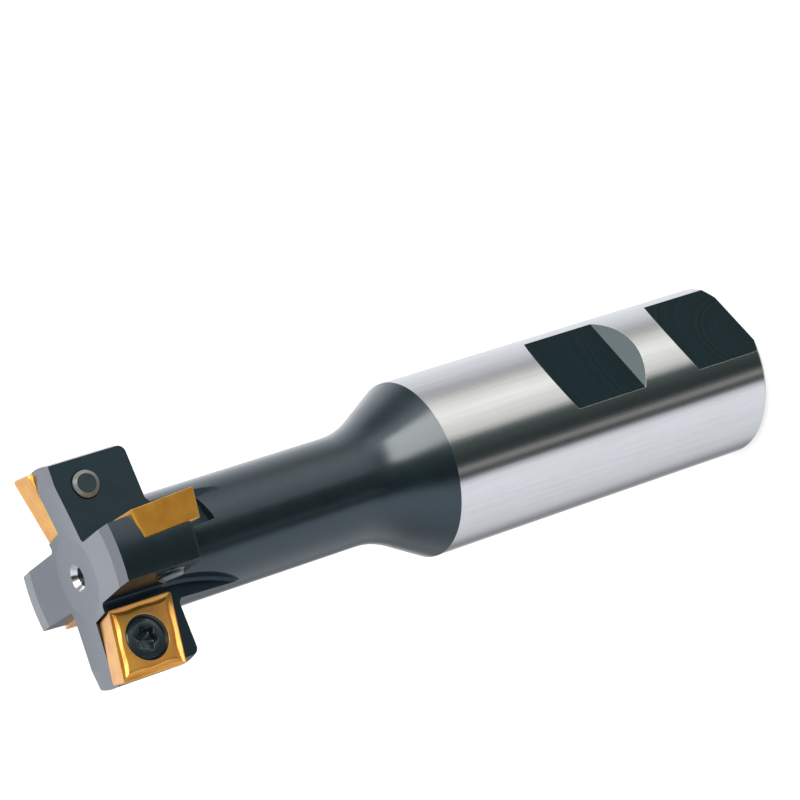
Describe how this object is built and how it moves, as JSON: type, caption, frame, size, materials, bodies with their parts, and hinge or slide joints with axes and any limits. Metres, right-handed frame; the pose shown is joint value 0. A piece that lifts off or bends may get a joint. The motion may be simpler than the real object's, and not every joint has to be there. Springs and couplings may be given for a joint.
{
  "type": "indexable t-slot cutter",
  "caption": "Slotting cutter with a flatted round shank, slim neck and cross-shaped head; its teeth hold screwed-on rhombic carbide inserts, at the front and rear in turn.",
  "frame": {"origin": "middle of the shank's end face, on which the tool stands", "axes": "+Z along the axis, from the shank to the head; +X through the middle of the first tooth that cuts at the head's rear; the tool turns anticlockwise seen from the head"},
  "size_m": [0.031, 0.031, 0.1099],
  "materials": {
    "tool_steel": "black oxide on head, neck and shoulder; bright ground shank",
    "coated_carbide": "gold titanium nitride coating on cemented carbide",
    "screw_steel": "black oxide"
  },
  "bodies": {
    "root": {"cutter_body": "tool_steel", "front_insert_1": "coated_carbide", "front_insert_2": "coated_carbide", "rear_insert_1": "coated_carbide", "rear_insert_2": "coated_carbide", "insert_screws": "screw_steel"}
  },
  "joints": []
}
